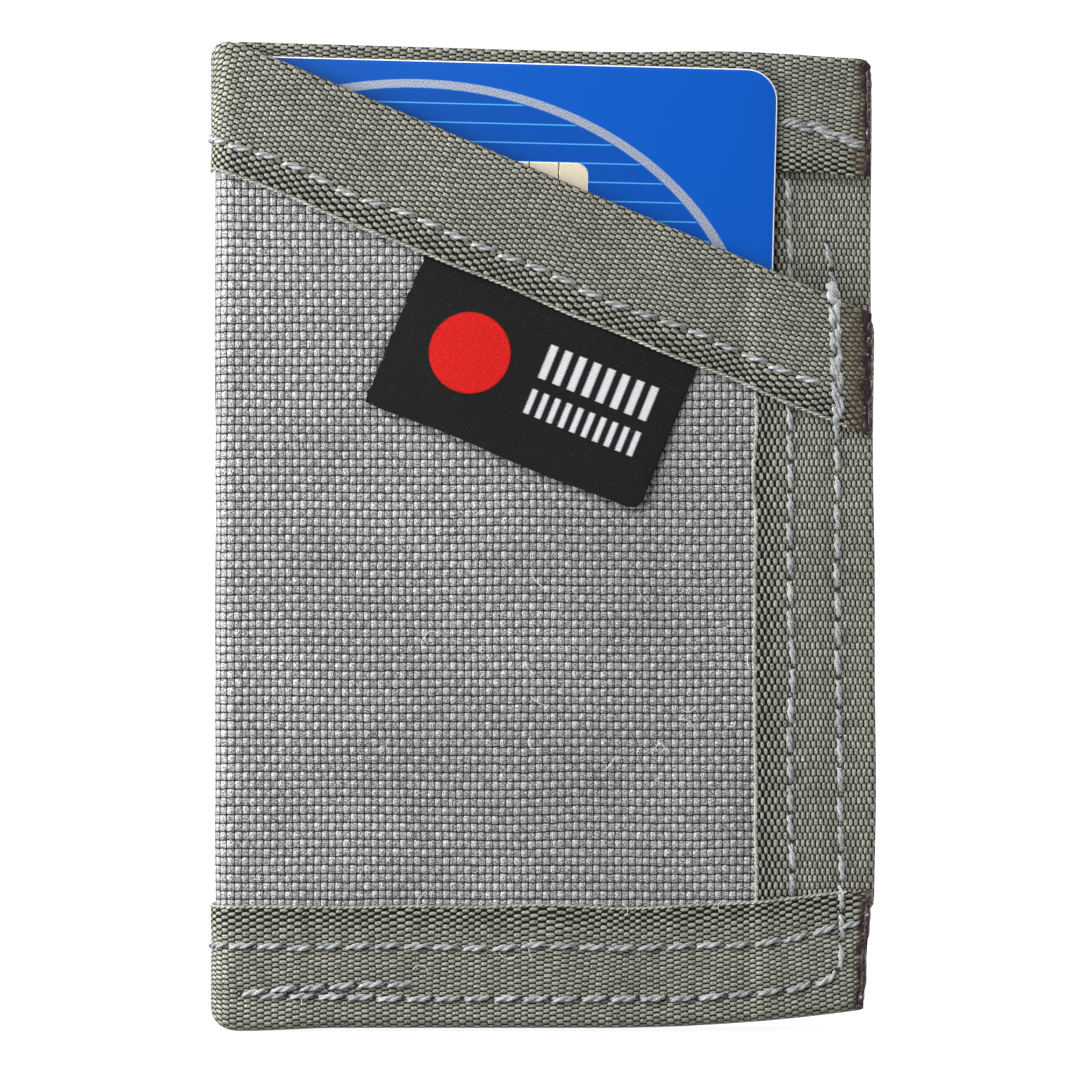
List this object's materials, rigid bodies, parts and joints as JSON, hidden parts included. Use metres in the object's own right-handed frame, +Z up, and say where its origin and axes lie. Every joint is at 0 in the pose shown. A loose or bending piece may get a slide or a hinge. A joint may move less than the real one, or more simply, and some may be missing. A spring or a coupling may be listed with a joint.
{
  "type": "bifold wallet",
  "caption": "Slim upright bifold wallet in coarse woven nylon with ribbon-bound edges, a slanted quick-access pocket, a woven label and a plain card.",
  "frame": {"origin": "middle of the closed wallet's outline, on the surface that its bottom edge stands on", "axes": "+Z up along the fold, +X from the fold to the free edges, -Y out of the front face with the slanted pocket"},
  "size_m": [0.0666, 0.0104, 0.0984],
  "materials": {
    "nylon": "coarse plain weave",
    "inner_nylon": "plain weave",
    "ribbon": "woven ribbon with twisted selvages",
    "thread": "twisted bonded thread",
    "label_cloth": "fine satin weave",
    "card_plastic": "satin laminate",
    "chip_metal": "satin contact plate"
  },
  "bodies": {
    "back_half": {"bottom_binding_back": "ribbon", "bottom_stitching_back": "thread", "inner_mouth_stitching_back": "thread", "inner_pocket_binding_back": "ribbon", "inner_pocket_panel_back": "inner_nylon", "inner_pocket_stitching_back": "thread", "join_stitching_back": "thread", "mouth_binding_back": "ribbon", "mouth_stitching_back": "thread", "outer_pocket_panel_back": "nylon", "pocket_side_binding_back": "ribbon", "shell_panel_back": "nylon", "shell_side_binding_back": "ribbon", "shell_top_binding_back": "ribbon", "shell_top_stitching_back": "thread", "side_stitching_back": "thread"},
    "spine": {"bottom_binding_spine": "ribbon", "bottom_stitching_spine": "thread", "mouth_binding_spine": "ribbon", "mouth_stitching_spine": "thread", "outer_pocket_panel_spine": "nylon", "shell_panel_spine": "nylon", "shell_top_binding_spine": "ribbon"},
    "front_half": {"bottom_binding_front": "ribbon", "bottom_stitching_front": "thread", "inner_mouth_stitching_front": "thread", "inner_pocket_binding_front": "ribbon", "inner_pocket_panel_front": "inner_nylon", "inner_pocket_stitching_front": "thread", "join_stitching_front": "thread", "outer_pocket_panel_front": "nylon", "pocket_side_binding_front": "ribbon", "shell_panel_front": "nylon", "shell_side_binding_front": "ribbon", "shell_top_binding_front": "ribbon", "shell_top_stitching_front": "thread", "side_stitching_front": "thread", "slant_mouth_binding_front": "ribbon", "slant_mouth_stitching_front": "thread"},
    "card": {"card_body": "card_plastic", "card_chip": "chip_metal"},
    "label": {"woven_label": "label_cloth"}
  },
  "joints": [
    {"name": "spine_fold", "type": "hinge", "parent": "back_half", "child": "spine", "pos_m": [-0.0325, 0.0043, 0], "axis": [0, 0, -1], "range_deg": [0, 90]},
    {"name": "front_fold", "type": "hinge", "parent": "spine", "child": "front_half", "pos_m": [-0.0325, -0.0043, 0], "axis": [0, 0, -1], "range_deg": [0, 90]},
    {"name": "card_slide", "type": "slide", "parent": "front_half", "child": "card", "axis": [0.0105, 0, 0.9999], "range_m": [0, 0.07]},
    {"name": "label_flap", "type": "hinge", "parent": "front_half", "child": "label", "pos_m": [0.00161, -0.00465, 0.0714], "axis": [-0.9253, 0, 0.3792], "range_deg": [0, 110]}
  ],
  "couplings": [
    {"joint": "front_fold", "follows": "spine_fold", "ratio": 1}
  ]
}
